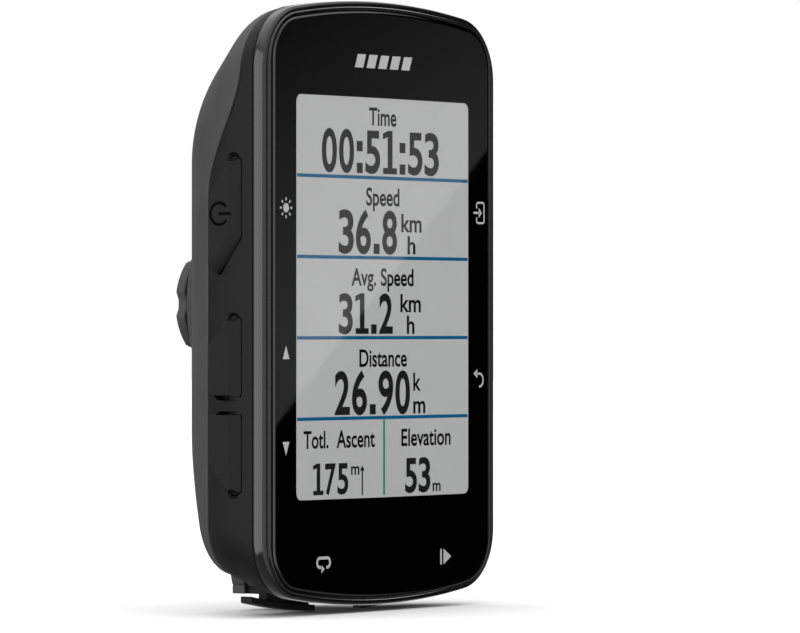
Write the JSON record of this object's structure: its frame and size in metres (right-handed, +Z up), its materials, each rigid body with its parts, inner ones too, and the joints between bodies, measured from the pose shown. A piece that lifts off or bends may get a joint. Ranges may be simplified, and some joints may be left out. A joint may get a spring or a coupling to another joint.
{
  "type": "cycling computer",
  "caption": "Upright handlebar computer with a flat glass front, bar-shaped keys on the sides and bottom edge, a tapered rear shell and a quarter-turn mounting boss.",
  "frame": {"origin": "centre of the quarter-turn mount's outer face", "axes": "+Y out of the back of the unit along the mount, -Y out of the glass, +Z up along the long side, +X to the right as the rider sees the screen"},
  "size_m": [0.049, 0.021, 0.0731],
  "materials": {
    "glass": "polished, with a dark printed border",
    "bezel": "satin gloss",
    "skin": "matt, soft-touch",
    "cover": "fine grain",
    "screen": "pale grey reflective display",
    "plastic": "moulded",
    "metal": "stamped sheet",
    "steel": "turned",
    "board": "solder-masked laminate",
    "chip": "moulded epoxy",
    "ceramic": "unglazed ceramic",
    "foil": "dull pouch foil",
    "foam": "closed-cell foam",
    "seal": "moulded silicone",
    "flex": "polyimide film",
    "red_wire": "insulated lead",
    "black_wire": "insulated lead",
    "film": "white film or moulding"
  },
  "bodies": {
    "computer": {"back_switch": "metal", "backlight": "film", "battery_cell": "foil", "battery_connector": "film", "battery_foam": "foam", "battery_lead_black": "black_wire", "battery_lead_red": "red_wire", "beeper": "chip", "board_screw_1": "steel", "board_screw_2": "steel", "board_screw_3": "steel", "board_screw_4": "steel", "case_screw_1": "steel", "case_screw_2": "steel", "case_screw_3": "steel", "case_screw_4": "steel", "case_seal": "seal", "cover_glass": "glass", "display_flex": "flex", "display_frame": "metal", "down_switch": "metal", "enter_switch": "metal", "front_bezel": "bezel", "glass_adhesive": "foam", "gps_antenna": "ceramic", "lap_switch": "metal", "lcd_panel": "screen", "main_board": "board", "memory_chip": "chip", "mid_frame": "plastic", "power_switch": "metal", "pressure_sensor": "metal", "processor_shield": "metal", "quarter_turn_mount": "cover", "radio_antenna": "ceramic", "rear_cover": "cover", "side_skin": "skin", "start_switch": "metal", "up_switch": "metal", "usb_connector": "metal", "vent_membrane": "film"},
    "back_key_body": {"back_key": "skin"},
    "down_key_body": {"down_key": "skin"},
    "enter_key_body": {"enter_key": "skin"},
    "lap_key_body": {"lap_key": "skin"},
    "power_key_body": {"power_key": "skin"},
    "start_key_body": {"start_key": "skin"},
    "up_key_body": {"up_key": "skin"},
    "usb_cap_body": {"usb_cap": "skin"}
  },
  "joints": [
    {"name": "back_press", "type": "slide", "parent": "computer", "child": "back_key_body", "axis": [-1, 0, 0], "range_m": [0, 0.0005], "stiffness_N_per_m": 3000},
    {"name": "down_press", "type": "slide", "parent": "computer", "child": "down_key_body", "axis": [1, 0, 0], "range_m": [0, 0.0005], "stiffness_N_per_m": 3000},
    {"name": "enter_press", "type": "slide", "parent": "computer", "child": "enter_key_body", "axis": [-1, 0, 0], "range_m": [0, 0.0005], "stiffness_N_per_m": 3000},
    {"name": "lap_press", "type": "slide", "parent": "computer", "child": "lap_key_body", "axis": [0, 0, 1], "range_m": [0, 0.0005], "stiffness_N_per_m": 3000},
    {"name": "power_press", "type": "slide", "parent": "computer", "child": "power_key_body", "axis": [1, 0, 0], "range_m": [0, 0.0005], "stiffness_N_per_m": 3000},
    {"name": "start_press", "type": "slide", "parent": "computer", "child": "start_key_body", "axis": [0, 0, 1], "range_m": [0, 0.0005], "stiffness_N_per_m": 3000},
    {"name": "up_press", "type": "slide", "parent": "computer", "child": "up_key_body", "axis": [1, 0, 0], "range_m": [0, 0.0005], "stiffness_N_per_m": 3000},
    {"name": "cap_hinge", "type": "hinge", "parent": "computer", "child": "usb_cap_body", "pos_m": [0, -0.0047, -0.03452], "axis": [1, 0, 0], "range_deg": [0, 100]}
  ]
}
